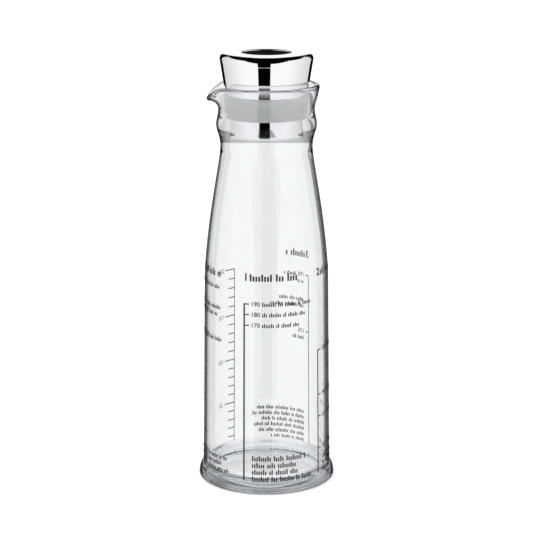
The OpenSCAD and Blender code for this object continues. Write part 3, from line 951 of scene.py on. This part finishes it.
way = add_node(room, "TexCoord", {}).outputs["Generated"]
x, y, z = add_node(room, "SeparateXYZ", {0: way}).outputs
turn = sky("DEGREES", sky("ARCTAN2", x, sky("MULTIPLY", y, -1.0)))
side = sky("ABSOLUTE", turn)
rise = sky("DEGREES", sky("ARCSINE", z))
print("directions ready, nodes so far:", len(room.nodes))

# %% [markdown]
# ### What steel mirrors
# The white table ends a little under the horizon in front, and soft boxes climb on both
# sides. Towards the camera a strip is left open and black, which is the dark band down
# the middle of the cap. A bright backdrop stands behind the bottle.

# %% The mirrored room
BOX_TURNS, BOX_RISES, BOX_SOFT = (15.0, 62.0), (-8.2, 35.0), 0.6
BOXES_END, DIM_FROM, DIM_TO = (139.0, 2.0), 60.0, 0.68
STRIP = ((-22.0, 0.8), (10.4, 0.8))
BACKDROP_SIDE, BACKDROP_TOP = (167.0, 2.0), (60.0, 10.0)
over_box = sky("SUBTRACT", rise, carried(room, side, *BOX_TURNS, *BOX_RISES))
strip = between(turn, *STRIP)
boxes = sky("MULTIPLY", less(beneath(over_box, 0.0, BOX_SOFT), strip),
            beneath(side, *BOXES_END))
boxes = sky("MULTIPLY", boxes, carried(room, side, DIM_FROM, BOXES_END[0], 1.0, DIM_TO))
backdrop = sky("MULTIPLY", past(side, *BACKDROP_SIDE), beneath(rise, *BACKDROP_TOP))
mirrored = sky("MAXIMUM", boxes, backdrop)
print("mirrored room, nodes so far:", len(room.nodes))

# %% [markdown]
# ### What glass gathers
# Light that has bounced about inside the glass comes out in all directions, and those
# directions draw the streaks in the foot and the neck. They see the boxes too, but a
# dimmer room behind, with a dark gap on the right and a bright table near the bottle.
# Light that goes straight through sees a paler room, or the whole bottle would look grey
# from the back. Light Path's depths tell one kind from the other. They are whole
# numbers, so a half parts none from some.

# %% The gathered room
BEHIND_SIDES, BEHIND_LIGHT, STRAIGHT_LIGHT = (120.0, 160.0), (0.4, 0.9), 0.85
RIGHT_GAP, RIGHT_DARK = ((125.0, 4.0), (156.0, 4.0)), 0.75
TABLE_NEAR, SOME = (-50.0, 8.0), 0.5
rays = add_node(room, "LightPath", {}).outputs
straight = sky("LESS_THAN", rays["Glossy Depth"], SOME)
bounced = sky("GREATER_THAN", rays["Glossy Depth"], SOME)
right = between(turn, *RIGHT_GAP)
gathered = less(carried(room, side, *BEHIND_SIDES, *BEHIND_LIGHT),
                sky("MULTIPLY", right, RIGHT_DARK))
gathered = sky("MAXIMUM", gathered, sky("MULTIPLY", straight, STRAIGHT_LIGHT))
gathered = sky("MAXIMUM", gathered, mirrored)
gathered = sky("MAXIMUM", gathered, beneath(rise, *TABLE_NEAR))
print("gathered room, nodes so far:", len(room.nodes))

# %% [markdown]
# Two dark things are taken out of it again: the black strip, low in front, and a band
# over the table's far end. Without black to gather, the glass has no dark streaks.

# %% The dark strip and the dark band
STRIP_RISES = ((-34.0, 4.0), (10.0, 3.0))
BAND_RISES, BAND_SIDE = ((5.5, 1.5), (23.0, 3.0)), (110.0, 5.0)
BAND_DARK, BAND_STRAIGHT = 0.9, 0.4
low = between(rise, *STRIP_RISES)
gathered = less(gathered, sky("MULTIPLY", sky("MULTIPLY", strip, low), bounced))
band = sky("MULTIPLY", between(rise, *BAND_RISES), past(side, *BAND_SIDE))
band_dark = sky("SUBTRACT", BAND_DARK, sky("MULTIPLY", straight, BAND_STRAIGHT))
gathered = less(gathered, sky("MULTIPLY", band, band_dark))
print("with its dark parts, nodes so far:", len(room.nodes))

# %% [markdown]
# ### Which ray sees which room
# The camera sees plain white. Rays that leave glass see the gathered room, rays that
# leave steel the mirrored one, as long as they haven't met a dull surface before. All
# the rest, which is the light that falls on the bottle, is an even white.

# %% Put the room together
lit = rays["Is Transmission Ray"]
shiny = sky("MULTIPLY", sky("MAXIMUM", rays["Is Glossy Ray"], lit),
            sky("LESS_THAN", rays["Diffuse Depth"], SOME))
studio = sky("ADD", sky("MULTIPLY", lit, gathered), less(mirrored, lit))
strength = sky("ADD", sky("MULTIPLY", shiny, studio), sky("SUBTRACT", 1.0, shiny))
strength = sky("MAXIMUM", strength, rays["Is Camera Ray"])
room.nodes["Background"].inputs["Color"].default_value = WHITE
room.links.new(strength, room.nodes["Background"].inputs["Strength"])
print("world nodes:", len(room.nodes))

# %% [markdown]
# ## Lamp and camera
# A wide, weak sun gives the even light a direction and the bottle its soft shadow. The
# camera stands where the photograph's did: a long lens, a little above the cap. Clear
# glass needs many bounces, because each ray passes four walls or more and then turns
# back inside the foot and the rim. With the few that are usual, those parts go black.

# %% Lamp
SUN_ENERGY, SUN_WIDTH, SUN_TILT = 0.6, 30, (35, -20, 0)
lamp = bpy.data.objects.new("key", bpy.data.lights.new("key", "SUN"))
lamp.data.energy = SUN_ENERGY
lamp.data.angle = math.radians(SUN_WIDTH)
lamp.rotation_euler = [math.radians(a) for a in SUN_TILT]
lamp.visible_glossy = lamp.visible_transmission = False
bpy.context.scene.collection.objects.link(lamp)
print("lamp energy:", lamp.data.energy)

# %% Camera and bounces
SENSOR_W, LENS = 36, 125.2
CAMERA_BACK, CAMERA_UP, LOOK_DOWN = 0.8354, 0.3024, 13.59
BOUNCES = 32
camera = bpy.data.objects.new("camera", bpy.data.cameras.new("camera"))
camera.data.sensor_width = SENSOR_W
camera.data.lens = LENS
camera.location = (0, -CAMERA_BACK, CAMERA_UP)
camera.rotation_euler = (math.radians(90 - LOOK_DOWN), 0, 0)
bpy.context.scene.collection.objects.link(camera)
bpy.context.scene.camera = camera
bpy.context.scene.view_settings.view_transform = "Standard"
cycles = bpy.context.scene.cycles
cycles.max_bounces = cycles.glossy_bounces = cycles.transmission_bounces = BOUNCES
print("lens, mm:", camera.data.lens, "bounces:", cycles.max_bounces)
